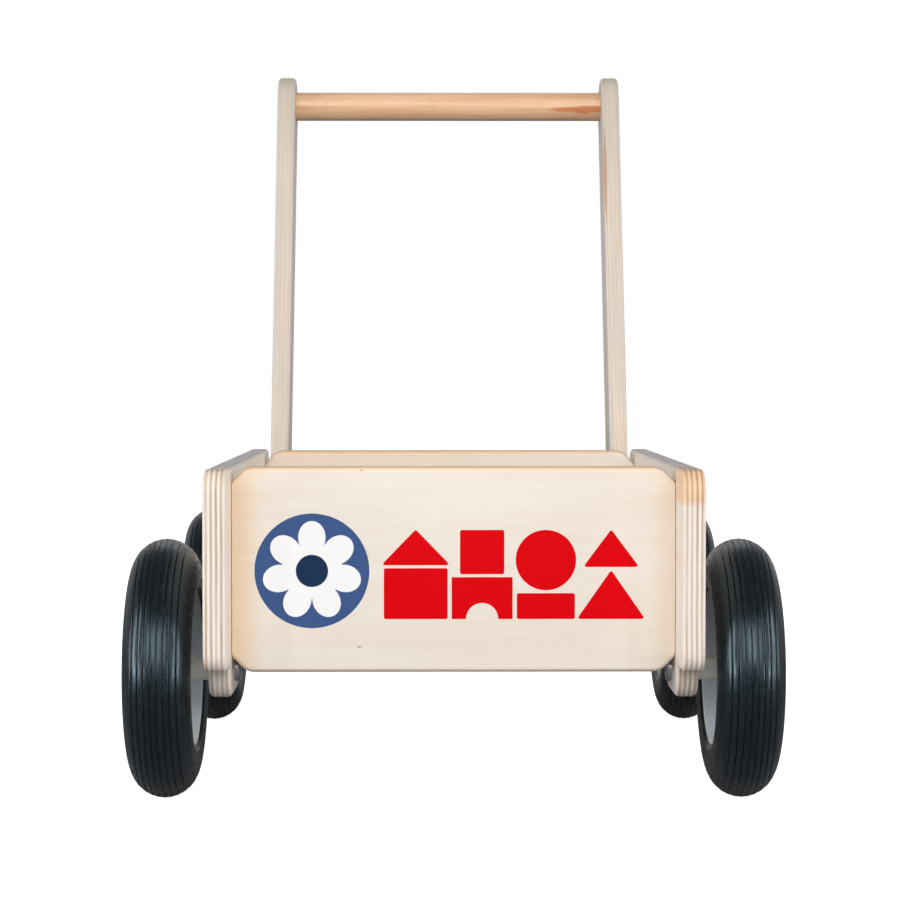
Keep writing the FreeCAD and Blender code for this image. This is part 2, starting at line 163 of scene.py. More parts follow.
def plywood(name, U, V, W, w0, seed, t=12.0, tints_and_painted_light=(), spots=(), painted_shade_factor=1.0, dark=1.0, streak=None, soft=0.0):
    """Nine-ply birch board as a solid pattern.

    U runs along the face grain, V across it in the board, W through it, and
    w0 is where the board starts along W. Veneers show wherever the board is
    cut, so its edges and round-overs carry their own stripes.
    """
    k = Mat(name)
    u = k.dot(k.obj, U)
    v = k.dot(k.obj, V)
    w = k.dot(k.obj, W, off=w0)
    # veneer index, with slightly wavy glue lines
    wave = k.noise(k.vec(k.mul(u, 0.02), k.mul(v, 0.02), seed), detail=2)
    wob = k.range(wave, 0.3, 0.7, -0.10, 0.10)
    lay = k.add(k.mul(w, 9.0 / t), wob)
    lay = k.math("MINIMUM", k.math("MAXIMUM", lay, 0.02), 8.98)
    idx = k.math("FLOOR", lay)
    fr = k.math("FRACT", lay)
    odd = k.math("MODULO", idx, 2.0)
    # face veneer: broad soft figure, fibres, short dashes
    broad = k.noise(k.vec(k.mul(u, 0.0045), k.mul(v, 0.038), seed), detail=3, dist=1.1)
    figure = k.noise(k.vec(k.mul(u, 0.012), k.mul(v, 0.16), seed + 2.0), detail=4, rough=0.6, dist=0.6)
    fibre = k.noise(k.vec(k.mul(u, 0.045), k.mul(v, 1.5), seed + 4.0), detail=6, rough=0.7)
    dash = k.noise(k.vec(k.mul(u, 0.07), k.mul(v, 2.4), seed + 9.0), detail=2, rough=0.4)
    col = k.mix(k.range(broad, 0.30, 0.80, 0.0, 0.85), FACE, FACE_2)
    col = k.mix(k.mul(k.range(figure, 0.40, 0.78), 0.22), col, rgb(238, 216, 190, 0.90))
    col = k.shade(col, k.range(fibre, 0.25, 0.78, 1.035, 0.945))
    col = k.mix(k.mul(k.range(dash, 0.62, 0.72), 0.35), col, rgb(250, 243, 232, 0.97))
    # small pin knots
    vor = k.nt.nodes.new("ShaderNodeTexVoronoi")
    vor.voronoi_dimensions, vor.feature = "3D", "F1"
    k.put(vor.inputs["Vector"], k.vec(k.mul(u, 0.55), k.mul(v, 1.0), seed))
    vor.inputs["Scale"].default_value = 0.028
    pin = k.range(vor.outputs["Distance"], 0.004, 0.014, 1.0, 0.0)
    col = k.mix(k.mul(pin, 0.45), col, rgb(190, 146, 108, 0.85))
    for su, sv, r in spots:
        du, dv = k.add(u, -su), k.add(v, -sv)
        d = k.math("SQRT", k.add(k.mul(k.mul(du, du), 0.35), k.mul(dv, dv)))
        col = k.mix(k.range(d, r * 0.4, r, 0.55, 0.0), col, rgb(168, 124, 92, 0.85))
    # veneers seen on edge
    line = k.noise(k.vec(k.mul(u, 0.035), k.mul(v, 0.035), k.add(k.mul(w, 2.6), seed)), detail=4, rough=0.65)
    tone = k.noise(k.vec(k.mul(u, 0.018), k.mul(v, 0.018), k.add(k.mul(idx, 5.3), seed)), detail=2)
    pore = k.noise(k.vec(k.mul(u, 1.1), k.mul(v, 1.1), k.mul(w, 2.2)), detail=3, rough=0.7)
    light = k.shade(PLY_LIGHT, k.range(line, 0.25, 0.75, 1.04, 0.90))
    darkc = k.shade(tuple(c * dark for c in PLY_DARK[:3]) + (1.0,), k.range(line, 0.25, 0.75, 1.12, 0.86))
    darkc = k.mix(k.range(tone, 0.35, 0.70, 0.0, 0.55), darkc, light)
    mid = k.math("ABSOLUTE", k.add(fr, -0.5))
    edge = k.mix(k.mul(odd, k.range(mid, 0.22, 0.46, 1.0, 0.25, smooth=True)), light, darkc)
    edge = k.shade(edge, k.range(pore, 0.30, 0.62, 0.90, 1.02))
    near = k.math("MINIMUM", fr, k.math("SUBTRACT", 1.0, fr))
    glue = k.range(near, 0.0, 0.13, 0.55, 0.0, smooth=True)
    broken = k.noise(k.vec(k.mul(u, 0.10), k.mul(v, 0.10), k.add(idx, seed)), detail=2)
    glue = k.mul(glue, k.range(broken, 0.35, 0.65, 0.35, 1.0))
    inner = k.mul(k.range(lay, 0.55, 0.75), k.range(lay, 8.25, 8.45, 1.0, 0.0))
    edge = k.mix(k.mul(glue, inner), edge, GLUE)
    if soft:
        # planed and sanded edge: the veneers run together
        hair = k.noise(k.vec(k.mul(u, 0.010), k.mul(v, 0.02), k.add(k.mul(w, 1.25), seed + 3.0)), detail=5, rough=0.8)
        patch = k.noise(k.vec(k.mul(u, 0.012), 0.0, k.add(k.mul(w, 0.16), seed)), detail=3, rough=0.6)
        plain = k.mix(k.range(patch, 0.35, 0.65), rgb(233, 214, 193, 0.93), rgb(222, 212, 198, 0.92))
        edge = k.mix(soft, edge, k.shade(plain, k.range(hair, 0.32, 0.68, 1.12, 0.78)))
    is_face = k.math("MAXIMUM", k.math("LESS_THAN", lay, 1.0), k.math("GREATER_THAN", lay, 8.0))
    # painted shade: on boards with a sanded edge (the uprights) the faces are made darker, standing for the shade on
    # them
    if soft:
        col = k.shade(col, 0.87)
    col = k.mix(is_face, edge, col)
    if streak:
        # one darker resin streak along an upright
        su0, su1, sw, wid = streak
        uu = k.range(u, su0, su1)
        taper = k.math("SINE", k.mul(uu, math.pi))
        wavy = k.range(k.noise(k.vec(k.mul(u, 0.06), 0.0, seed), detail=3), 0.3, 0.7, -0.35, 0.35)
        dist = k.math("ABSOLUTE", k.add(k.add(w, -sw), wavy))
        m = k.math("LESS_THAN", dist, k.mul(taper, wid))
        vlo = k.range(v, streak_v(seed)[0], streak_v(seed)[1], 1.0, 0.0)
        col = k.mix(k.mul(k.mul(m, vlo), 0.62), col, rgb(206, 132, 78, 0.86))
    # tints by position: warm painted bounce light where timber faces timber, painted shade (greyer tops, a dark line
    # under an edge), and plain warmer bands along some edges
    for axis, a, b, strength, hue, *limit in tints_and_painted_light:
        away = k.dot(k.obj, axis)
        m = k.range(away, a, b, 0.0, strength, smooth=True)
        if limit:
            along, near_end, far_end = limit
            m = k.mul(m, k.range(k.dot(k.obj, along), near_end, far_end, 1.0, 0.0, smooth=True))
        col = k.mix(m, col, k.mix(1.0, col, hue, "MULTIPLY"))
    # painted shade: the whole board is made darker by this factor, standing for it being lit less
    if painted_shade_factor != 1.0:
        col = k.shade(col, painted_shade_factor)
    k.put(k.b.inputs["Base Color"], col)
    k.put(k.b.inputs["Roughness"], k.range(fibre, 0.25, 0.8, 0.42, 0.56))
    k.set(Coat_Weight=0.12, Coat_Roughness=0.32, Specular_IOR_Level=0.38)
    h = k.add(k.mul(fibre, k.mul(is_face, 0.7)), k.mul(k.add(line, k.mul(pore, 0.6)), k.math("SUBTRACT", 1.0, k.mul(is_face, 1.0))))
    k.bump(h, 0.00022, 0.35)
    return k.m


LEAN = math.radians(19.2)
UP_U = (0.0, math.sin(LEAN), math.cos(LEAN))
UP_V = (0.0, math.cos(LEAN), -math.sin(LEAN))


def at(node):
    lo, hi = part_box(node)
    return Vector(lo), Vector(hi)


side_lo, side_hi = at("side_panel_right")
front_lo, front_hi = at("front_panel")
rear_lo, rear_hi = at("rear_panel")
floor_lo, floor_hi = at("floor_panel")
post_lo, post_hi = at("handle_upright_right")
bar_lo, bar_hi = at("handle_bar")
bar_mid = (bar_lo + bar_hi) / 2

# across-board position of an upright's front edge
post_v = Vector((0, bar_mid.y, bar_mid.z)).dot(Vector(UP_V)) / MM - 18.0


def streak_v(seed):
    return (post_v + 3.2, post_v + 4.2)


AMBER = (1.0, 0.84, 0.66, 1.0)
ORANGE = (1.0, 0.77, 0.56, 1.0)
# painted shade colours: the cool one greys the uprights' top ends, the slate one the side panels' top edges, the umber
# one makes the dark line under the front panel
TOP_END_SHADE_COOL = (0.83, 0.86, 0.86, 1.0)
TOP_EDGE_SHADE_SLATE = (0.70, 0.75, 0.84, 1.0)
UNDER_EDGE_SHADE_UMBER = (0.78, 0.64, 0.54, 1.0)
# side panels: the slate entry is painted shade that greys the top edges; the orange or amber entry only makes the top
# of the front end warmer
m_side_r = plywood("ply_side_right", (0, 1, 0), (0, 0, 1), (1, 0, 0), side_lo.x / MM, 3.0,
                   tints_and_painted_light=(((0, 0, 1), 160.0, 164.5, 1.0, ORANGE, (0, 1, 0), side_lo.y / MM + 22.0, side_lo.y / MM + 55.0),
                         ((0, 0, 1), 178.2, 179.6, 0.9, TOP_EDGE_SHADE_SLATE)))
m_side_l = plywood("ply_side_left", (0, 1, 0), (0, 0, 1), (-1, 0, 0), side_lo.x / MM, 17.0,
                   tints_and_painted_light=(((0, 0, 1), 164.0, 178.0, 0.35, AMBER, (0, 1, 0), side_lo.y / MM + 22.0, side_lo.y / MM + 55.0),
                         ((0, 0, 1), 178.2, 179.6, 0.9, TOP_EDGE_SHADE_SLATE)))
# front panel: the amber entries at the left and right ends are painted shade and warm painted bounce light from the
# side panels; the umber line along the bottom edge is painted shade; the amber band and orange line at the top only
# make the top warmer
m_front = plywood("ply_front", (1, 0, 0), (0, 0, 1), (0, 1, 0), front_lo.y / MM, 41.0,
                  tints_and_painted_light=(((-1, 0, 0), 98.0, 118.0, 1.0, AMBER), ((1, 0, 0), 100.0, 119.0, 0.35, AMBER),
                        ((0, 0, 1), 172.0, 183.0, 0.35, AMBER),
                        ((0, 0, 1), front_hi.z / MM - 2.4, front_hi.z / MM - 0.9, 0.75, ORANGE),
                        ((0, 0, -1), -front_lo.z / MM - 2.2, -front_lo.z / MM - 0.7, 0.9, UNDER_EDGE_SHADE_UMBER)), spots=((-50.3, 83.9, 0.9), (-49.0, 178.2, 0.7)))
# rear panel: the whole board is made darker as painted shade; the pinkish entry makes it warmer towards the left and
# the orange line warms the top edge
m_rear = plywood("ply_rear", (1, 0, 0), (0, 0, 1), (0, 1, 0), rear_lo.y / MM, 63.0,
                 tints_and_painted_light=(((-1, 0, 0), -160.0, 119.0, 0.55, (1.0, 0.86, 0.74, 1.0)),
                       ((0, 0, 1), rear_hi.z / MM - 2.6, rear_hi.z / MM - 1.0, 0.9, ORANGE)), painted_shade_factor=0.91)
m_floor = plywood("ply_floor", (1, 0, 0), (0, 1, 0), (0, 0, 1), floor_lo.z / MM, 77.0, t=9.0)
post_u = Vector((0, bar_mid.y, bar_mid.z)).dot(Vector(UP_U)) / MM
# uprights: the factors 0.93 and 0.90 darken them as painted shade, and the cool entry greys the top end as painted
# shade
m_up_r = plywood("ply_upright_right", UP_U, UP_V, (1, 0, 0), post_lo.x / MM, 88.0, dark=1.15, soft=0.84,
                 tints_and_painted_light=((UP_U, post_u - 95.0, post_u + 12.0, 0.95, TOP_END_SHADE_COOL),),
                 streak=(post_u - 98.0, post_u - 22.0, 1.25, 1.0), painted_shade_factor=0.93)
m_up_l = plywood("ply_upright_left", UP_U, UP_V, (-1, 0, 0), post_lo.x / MM, 101.0, dark=1.15, soft=0.84,
                 tints_and_painted_light=((UP_U, post_u - 60.0, post_u + 14.0, 0.9, TOP_END_SHADE_COOL),), painted_shade_factor=0.90)


def assign(node, mat):
    o = NODES[node]
    if not o.material_slots:
        o.data.materials.append(mat)
    for s in o.material_slots:
        s.material = mat


assign("side_panel_right", m_side_r)
assign("side_panel_left", m_side_l)
assign("front_panel", m_front)
assign("rear_panel", m_rear)
assign("floor_panel", m_floor)
assign("handle_upright_right", m_up_r)
assign("handle_upright_left", m_up_l)


def dowel_material():
    k = Mat("beech_bar")
    x = k.dot(k.obj, (1, 0, 0))
    y = k.dot(k.obj, (0, 1, 0), off=bar_mid.y / MM)
    z = k.dot(k.obj, (0, 0, 1), off=bar_mid.z / MM)
    base = rgb(244, 203, 168, 0.91)
    deep = rgb(230, 177, 130, 0.90)
    grain = k.noise(k.vec(k.mul(x, 0.010), k.mul(y, 0.32), k.mul(z, 0.32)), detail=4, rough=0.6, dist=0.5)
    fibre = k.noise(k.vec(k.mul(x, 0.05), k.mul(y, 1.7), k.mul(z, 1.7)), detail=5, rough=0.7)
    col = k.mix(k.range(grain, 0.34, 0.68), base, deep)
    col = k.shade(col, k.range(fibre, 0.25, 0.78, 1.04, 0.93))
    # beech flecks: short darker ticks along the bar
    fleck = k.noise(k.vec(k.mul(x, 0.42), k.mul(y, 1.4), k.mul(z, 1.4)), detail=1, rough=0.3)
    col = k.mix(k.range(fleck, 0.72, 0.80, 0.0, 0.42), col, rgb(166, 112, 74, 0.85))
    pit = k.noise(k.vec(k.add(k.mul(x, 0.34), 31.0), k.mul(y, 0.55), k.mul(z, 0.55)), detail=0)
    col = k.mix(k.range(pit, 0.79, 0.85, 0.0, 0.5), col, rgb(158, 104, 68, 0.8))
    # orange mark near the right end, on the side away from the grip
    mx = k.mul(k.add(x, -99.0), 1 / 33.0)
    wob = k.range(k.noise(k.vec(k.mul(x, 0.07), k.mul(z, 0.6), 4.0), detail=3), 0.3, 0.7, -0.9, 0.9)
    mz = k.mul(k.add(k.add(z, 2.6), wob), 1 / 2.7)
    d = k.math("SQRT", k.add(k.mul(mx, mx), k.mul(mz, mz)))
    m = k.mul(k.range(d, 0.62, 1.0, 0.85, 0.0, smooth=True), k.math("LESS_THAN", y, 0.0))
    col = k.mix(m, col, rgb(214, 128, 66, 0.88))
    k.put(k.b.inputs["Base Color"], col)
    k.put(k.b.inputs["Roughness"], k.range(fibre, 0.25, 0.8, 0.36, 0.50))
    k.set(Coat_Weight=0.35, Coat_Roughness=0.27, Specular_IOR_Level=0.5)
    k.bump(k.add(fibre, k.mul(fleck, -0.6)), 0.00020, 0.35)
    return k.m


assign("handle_bar", dowel_material())


# ------------------------------------------------------------------ metals
def metal(name, col, rough, scale=0.6):
    k = Mat(name)
    n1 = k.noise(k.obj, scale * 1000 * 0.25, 4, 0.6)
    n2 = k.noise(k.obj, scale * 1000 * 1.6, 3, 0.6)
    k.put(k.b.inputs["Base Color"], k.shade(rgb(*col), k.range(n1, 0.3, 0.7, 0.90, 1.05)))
    k.put(k.b.inputs["Roughness"], k.range(n2, 0.3, 0.7, rough - 0.06, rough + 0.08))
    k.set(Metallic=1.0)
    k.bump(n2, 0.00004, 0.3)
    return k.m


m_bolt = metal("zinc_bolt", (206, 206, 204), 0.27)
m_nut = metal("zinc_nut", (190, 192, 195), 0.33)
m_screw = metal("zinc_screw", (198, 196, 190), 0.32)
WHEELS = ("front_left", "front_right", "rear_left", "rear_right")
for wname in WHEELS:
    assign("axle_bolt_" + wname, m_bolt)
    assign("sleeve_nut_" + wname, m_nut)
for n in ("upright_bolts",):
    assign(n, m_bolt)
for n in ("upright_nuts", "outer_washers"):
    assign(n, m_nut)
for n in ("panel_screws_left", "panel_screws_right", "handle_screws"):
    assign(n, m_screw)


def plastic(name, col, rough, c=(0, 0, 0)):
    """Moulded plastic: fine spark-eroded grain, faint flow shading and scuffs."""
    k = Mat(name)
    g = k.noise(k.obj, 2600, 2, 0.5)
    f = k.noise(k.obj, 45, 3, 0.5)
    s = k.noise(k.vec(k.dot(k.obj, (1, 0, 0), 300), k.dot(k.obj, (0, 1, 0), 1400), k.dot(k.obj, (0, 0, 1), 1400)), 1.0, 4, 0.7)
    k.put(k.b.inputs["Base Color"], k.shade(rgb(*col), k.range(f, 0.3, 0.7, 0.95, 1.03)))
    k.put(k.b.inputs["Roughness"], k.range(s, 0.35, 0.7, rough - 0.05, rough + 0.10))
    k.set(Specular_IOR_Level=0.45)
    k.bump(g, 0.00005, 0.35)
    return k.m


m_rim = plastic("rim_grey", (230, 236, 241), 0.40)
m_bush = plastic("bush_nylon", (226, 224, 214), 0.40)
m_spacer = plastic("spacer_grey", (232, 231, 220), 0.45)
for wname in WHEELS:
    assign("wheel_bush_" + wname, m_bush)
    assign("spacer_" + wname, m_spacer)


def rubber(centre, name):
    """Moulded rubber: streaks that run round the wheel, fine grain, dust."""
    k = Mat(name)
    x = k.dot(k.obj, (1, 0, 0), off=centre.x / MM)
    y = k.dot(k.obj, (0, 1, 0), off=centre.y / MM)
    z = k.dot(k.obj, (0, 0, 1), off=centre.z / MM)
    r = k.math("SQRT", k.add(k.mul(y, y), k.mul(z, z)))
    ring = k.noise(k.vec(k.mul(y, 0.020), k.mul(z, 0.020), k.add(k.mul(x, 0.9), k.mul(r, 0.75))), detail=5, rough=0.7)
    scuff = k.noise(k.vec(k.mul(y, 0.16), k.mul(z, 0.16), k.mul(x, 0.45)), detail=5, rough=0.75)
    grain = k.noise(k.obj, 1500, 3, 0.6)
    blotch = k.noise(k.obj, 38, 3, 0.6)
    col = k.mix(k.range(ring, 0.35, 0.70), rgb(9, 12, 14), rgb(18, 22, 26))
    col = k.mix(k.mul(k.range(scuff, 0.55, 0.80), k.mul(k.range(r, 60.0, 68.5), 0.6)), col, rgb(46, 51, 56))
    col = k.shade(col, k.range(blotch, 0.3, 0.7, 0.85, 1.12))
    k.put(k.b.inputs["Base Color"], col)
    rg = k.add(k.range(ring, 0.32, 0.70, 0.13, 0.38), k.range(scuff, 0.45, 0.75, 0.0, 0.16))
    k.put(k.b.inputs["Roughness"], rg)
    k.set(Specular_IOR_Level=0.66, Specular_Tint=(0.62, 0.86, 1.0, 1.0))
    h = k.add(k.mul(ring, 0.9), k.add(k.mul(scuff, 0.5), k.mul(grain, 0.30)))
    k.bump(h, 0.00016, 0.45)
    return k.m


# -------------------------------------------------------------- wheel meshes
def noise1(t, seed):
    """Smooth periodic wobble in -1..1 of an angle t."""
    s = 0.0
    for i, (f, a) in enumerate(((5, 0.40), (11, 0.28), (23, 0.20), (47, 0.12))):
        s += a * math.sin(f * t + seed * (1.7 + i) + i * 2.1)
    return s


def finish_mesh(name, verts, faces, mat, smooth=True, angle=None):
    me = bpy.data.meshes.new(name)
    me.from_pydata(verts, [], faces)
    me.validate()
    bm = bmesh.new()
    bm.from_mesh(me)
    bmesh.ops.recalc_face_normals(bm, faces=bm.faces)
    bm.to_mesh(me)
    bm.free()
    if smooth:
        me.polygons.foreach_set("use_smooth", [True] * len(me.polygons))
        if angle is not None:
            me.set_sharp_from_angle(angle=math.radians(angle))
    me.materials.append(mat)
    o = bpy.data.objects.new(name, me)
    bpy.context.scene.collection.objects.link(o)
    return o


TYRE_HW, TYRE_R, MID_R, SEAT_R = 18.0, 70.0, 52.0, 42.02


def crown(x):
    return MID_R + math.sqrt(max(0.0, TYRE_HW ** 2 - x * x))


def tyre_section():
    """Cross-section of the solid tyre: list of (x, r, seam weight)."""
    pts = []
    for x, r in ((-14.7, SEAT_R), (-9.0, SEAT_R), (-4.0, SEAT_R), (-3.0, 41.02), (3.0, 41.02), (4.0, SEAT_R), (9.0, SEAT_R), (14.7, SEAT_R)):
        pts.append((x, r, 0.0))
    side = []
    n = 44
    a0 = math.asin((SEAT_R + 0.45 - MID_R) / TYRE_HW)
    a1 = math.acos(12.85 / TYRE_HW)
    for i in range(n + 1):
        a = a0 + (a1 - a0) * i / n
        x, r = TYRE_HW * math.cos(a), MID_R + TYRE_HW * math.sin(a)
        # raised bead ring next to the rim, and a shallow line on the shoulder
        x += 0.42 * math.exp(-((r - 45.2) / 0.9) ** 2)
        x -= 0.30 * math.exp(-((r - 60.2) / 0.5) ** 2)
        side.append((min(x, TYRE_HW), r))
    ribs = []
    pitch = 3.3
    centres = [(3.5 - i) * pitch for i in range(8)]
    prof = ((-0.66, 0.0), (-0.42, 0.04), (-0.27, 0.15), (-0.18, 0.38), (-0.09, 0.56), (0.0, 0.60),
            (0.09, 0.56), (0.18, 0.38), (0.27, 0.15), (0.42, 0.04), (0.66, 0.0))
    for i, c in enumerate(centres):
        for dx, dep in reversed(prof):
            ribs.append((c + dx, crown(c + dx) - dep - 0.10, 0.0))
        if i < 7:
            for s in (0.28, 0.5, 0.72):
                x = c - pitch * s
                lift = 0.10 if s == 0.5 else 0.06
                if i == 3 and s == 0.5:
                    for e, wgt in ((0.34, 0.0), (0.16, 0.6), (0.0, 1.0), (-0.16, 0.6), (-0.34, 0.0)):
                        ribs.append((x + e, crown(x + e) - 0.10 + lift * 0.4, wgt))
                else:
                    ribs.append((x, crown(x) - 0.10 + lift * 0.6, 0.0))
    right = [(x, r, 0.0) for x, r in side]
    left = [(-x, r, 0.0) for x, r in reversed(side)]
    return pts + right + ribs + left


SECTION = tyre_section()
SEGS = 216


def make_tyre(wname, seed):
    lo, hi = at("tyre_" + wname)
    c = (lo + hi) / 2
    c.z = 70.0 * MM
    flip = -1.0 if c.x < 0 else 1.0
    verts, faces = [], []
    n = len(SECTION)
    for i in range(SEGS):
        t = 2 * math.pi * i / SEGS
        seam = 0.10 + 0.10 * noise1(t, seed)
        for x, r, wgt in SECTION:
            rr = min(r + wgt * seam, TYRE_R - 0.005)
            verts.append((c.x + flip * x * MM, c.y + rr * MM * math.cos(t), c.z + rr * MM * math.sin(t)))
    for i in range(SEGS):
        j = (i + 1) % SEGS
        for q in range(n):
            p = (q + 1) % n
            faces.append((i * n + q, i * n + p, j * n + p, j * n + q))
    o = finish_mesh("tyre_rubber_" + wname, verts, faces, rubber(c, "rubber_" + wname))
    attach(o, "wheel_" + wname)
    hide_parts("tyre_" + wname)
    return c


def smooth(a, b, x):
    t = max(0.0, min(1.0, (x - a) / (b - a)))
    return t * t * (3 - 2 * t)


# half-section of the rim, outer face side: (x from mid plane, radius, kind)
def rim_rings():
    rings = []

    def r_(x, r, kind="p"):
        rings.append((x, r, kind))

    r_(11.0, 6.53); r_(11.0, 7.0); r_(11.0, 10.9)
    r_(10.9, 11.5); r_(10.6, 12.0); r_(10.1, 12.35); r_(9.5, 12.5)
    r_(7.8, 12.62); r_(5.6, 12.85); r_(4.4, 13.15); r_(3.6, 13.7); r_(3.0, 14.5); r_(2.75, 15.6)
    for r in (17.5, 20.0, 22.5, 25.0, 27.5, 29.6, 31.0):
        r_(2.6, r, "w")
    r_(2.75, 32.6, "w"); r_(3.1, 34.0, "w"); r_(3.7, 35.3, "w"); r_(4.7, 36.6, "w"); r_(5.9, 37.6, "w"); r_(7.2, 38.3, "w"); r_(8.6, 38.75, "w")
    r_(10.5, 39.1); r_(12.8, 39.5); r_(14.9, 39.9)
    r_(15.4, 40.1); r_(15.75, 40.5); r_(15.88, 41.0); r_(15.8, 41.5); r_(15.5, 41.85); r_(15.1, 41.98)
    r_(9.0, 41.98); r_(4.1, 41.98); r_(3.2, 40.98)
    return rings


RIM = rim_rings()
RIM_N = 5
OFFS = (-4.2, -3.0, -2.3, -1.9, -1.6, -1.35, -0.9, 0.0, 0.9, 1.35, 1.6, 1.9, 2.3, 3.0, 4.2)
FREE = 30


def rim_column_angles(r):
    out = []
    for s in range(RIM_N):
        a0 = 2 * math.pi * s / RIM_N + math.pi / 2
        rr = max(r, 9.0)
        da = [math.asin(max(-1, min(1, d / rr))) for d in OFFS]
        for q, d in zip(da, OFFS):
            out.append((a0 + q, d))
        span = 2 * math.pi / RIM_N - (da[-1] - da[0])
        for f in range(1, FREE):
            out.append((a0 + da[-1] + span * f / FREE, 99.0))
    return out


def make_rim(wname, c):
    verts, faces = [], []
    flip = -1.0 if c.x < 0 else 1.0
    rings = [(x, r, kd) for x, r, kd in RIM] + [(-x, r, kd) for x, r, kd in reversed(RIM)]
    cols = None
    for x, r, kd in rings:
        cols = rim_column_angles(r)
        for a, d in cols:
            xx = x
            # radial ribs rise from the web on both faces
            top = 8.6 - (r - 12.5) / 24.0 * 1.4
            if 12.5 < r < 38.8:
                k = 1.0 - smooth(1.35, 1.95, abs(d))
                sgn = 1 if x > 0 else -1
                h = abs(x) + max(0.0, top - abs(x)) * k
                xx = sgn * h
            verts.append((c.x + flip * xx * MM, c.y + r * MM * math.cos(a), c.z + r * MM * math.sin(a)))
    n = len(cols)
    m = len(rings)
    for j in range(m):
        j2 = (j + 1) % m
        for i in range(n):
            i2 = (i + 1) % n
            faces.append((j * n + i, j * n + i2, j2 * n + i2, j2 * n + i))
    o = finish_mesh("rim_moulding_" + wname, verts, faces, m_rim, angle=50)
    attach(o, "wheel_" + wname)
    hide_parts("wheel_rim_" + wname)
    return o


for i, wname in enumerate(WHEELS):
    cc = make_tyre(wname, 1.3 + 2.7 * i)
    make_rim(wname, cc)


# ----------------------------------------------------- print on the front panel
def ink(name, col, rough=0.42):
    """Printed film: a thin even layer through which the grain still shows a little."""
    k = Mat(name)
    x = k.dot(k.obj, (1, 0, 0))
    z = k.dot(k.obj, (0, 0, 1))
    fibre = k.noise(k.vec(k.mul(x, 0.045), k.mul(z, 1.5), 45.0), detail=5, rough=0.7)
    dots = k.noise(k.obj, 900, 2, 0.5)
    k.put(k.b.inputs["Base Color"], k.shade(rgb(*col), k.range(fibre, 0.25, 0.78, 1.02, 0.965)))
    k.put(k.b.inputs["Roughness"], k.range(dots, 0.3, 0.7, rough - 0.05, rough + 0.06))
    k.set(Specular_IOR_Level=0.06)
    k.bump(fibre, 0.00006, 0.25)
    return k.m


m_blue = ink("ink_blue", (66, 92, 142))
m_navy = ink("ink_navy", (30, 52, 84))
m_white = ink("ink_white", (252, 252, 252))
m_red = ink("ink_red", (226, 0, 12))

FACE_Y = front_lo.y


def film(name, outlines, mat, up):
    """Closed thin plates on the panel's face; outlines are lists of (x, z) in mm."""
    verts, faces = [], []
    for pts in outlines:
        s = len(verts)
        n = len(pts)
        for y in (FACE_Y + 0.02 * MM, FACE_Y - up * MM):
            verts += [(x * MM, y, z * MM) for x, z in pts]
        faces.append(tuple(s + i for i in range(n)))
        faces.append(tuple(s + n + i for i in reversed(range(n))))
        for i in range(n):
            j = (i + 1) % n
            faces.append((s + i, s + n + i, s + n + j, s + j))
    o = finish_mesh(name, verts, faces, mat, smooth=False)
    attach(o, "chassis")
    return o


def disc(cx, cz, r, n=144):
    return [(cx + r * math.cos(2 * math.pi * i / n), cz + r * math.sin(2 * math.pi * i / n)) for i in range(n)]


def flower(cx, cz, r, petals, n=240):
    """Outline of a daisy with round petals."""
    out = []
    for i in range(n):
        t = 2 * math.pi * i / n
        k = abs(math.cos(petals * t / 2))
        out.append((cx + r * (0.52 + 0.48 * k ** 0.55) * math.sin(t), cz + r * (0.52 + 0.48 * k ** 0.55) * math.cos(t)))
    return out


CX, CZ = -75.5, 124.6
film("print_disc", [disc(CX, CZ, 30.6)], m_blue, 0.03)
film("print_flower", [flower(CX, CZ, 26.6, 7)], m_white, 0.05)
film("print_flower_heart", [disc(CX, CZ, 8.6, 96)], m_navy, 0.07)


def soft_poly(pts, r=1.2, n=6):
    """Polygon with slightly rounded corners."""
    out = []
    m = len(pts)
    for i in range(m):
        p0, p, p1 = Vector(pts[i - 1]), Vector(pts[i]), Vector(pts[(i + 1) % m])
        a, b = (p0 - p).normalized(), (p1 - p).normalized()
        ang = a.angle(b)
        t = min(r / math.tan(ang / 2), 0.4 * min((p0 - p).length, (p1 - p).length))
        s, e = p + a * t, p + b * t
        for q in range(n + 1):
            f = q / n
            out.append(tuple((1 - f) ** 2 * s + 2 * f * (1 - f) * p + f * f * e))
    return out


Z0, Z1 = 98.8, 146.4


def block(cx, w, z0, z1, r=1.2):
    return soft_poly([(cx - w / 2, z0), (cx + w / 2, z0), (cx + w / 2, z1), (cx - w / 2, z1)], r)


def roof(cx, w, z0, z1, r=1.2):
    return soft_poly([(cx - w / 2, z0), (cx + w / 2, z0), (cx, z1)], r)


def arch(cx, w, z0, z1, r):
    pts = [(cx - w / 2, z0)]
    for i in range(33):
        t = math.pi * (1 - i / 32)
        pts.append((cx + r * math.cos(t), z0 + r * math.sin(t)))
    pts += [(cx + w / 2, z0), (cx + w / 2, z1), (cx - w / 2, z1)]
    return pts


towers = []
towers += [block(-20.2, 34.0, Z0, 126.0), roof(-20.2, 37.0, 127.6, Z1 + 0.3)]
towers += [arch(15.2, 32.5, Z0, 121.2, 8.6), block(15.2, 23.6, 122.8, Z1)]
towers += [block(49.2, 31.0, Z0, 112.6), disc(49.2, 114.2 + 16.1, 16.1, 120)]
towers += [roof(84.0, 36.5, Z0, 125.0), roof(84.0, 30.0, 117.0 + 9.6, Z1 + 0.3)]
film("print_blocks", towers, m_red, 0.03)

# --------------------------------------------------------- CAD part finishing
for name, o in NODES.items():
    if name.startswith(("tyre_", "wheel_rim_")):
        continue
    me = o.data
    me.polygons.foreach_set("use_smooth", [True] * len(me.polygons))

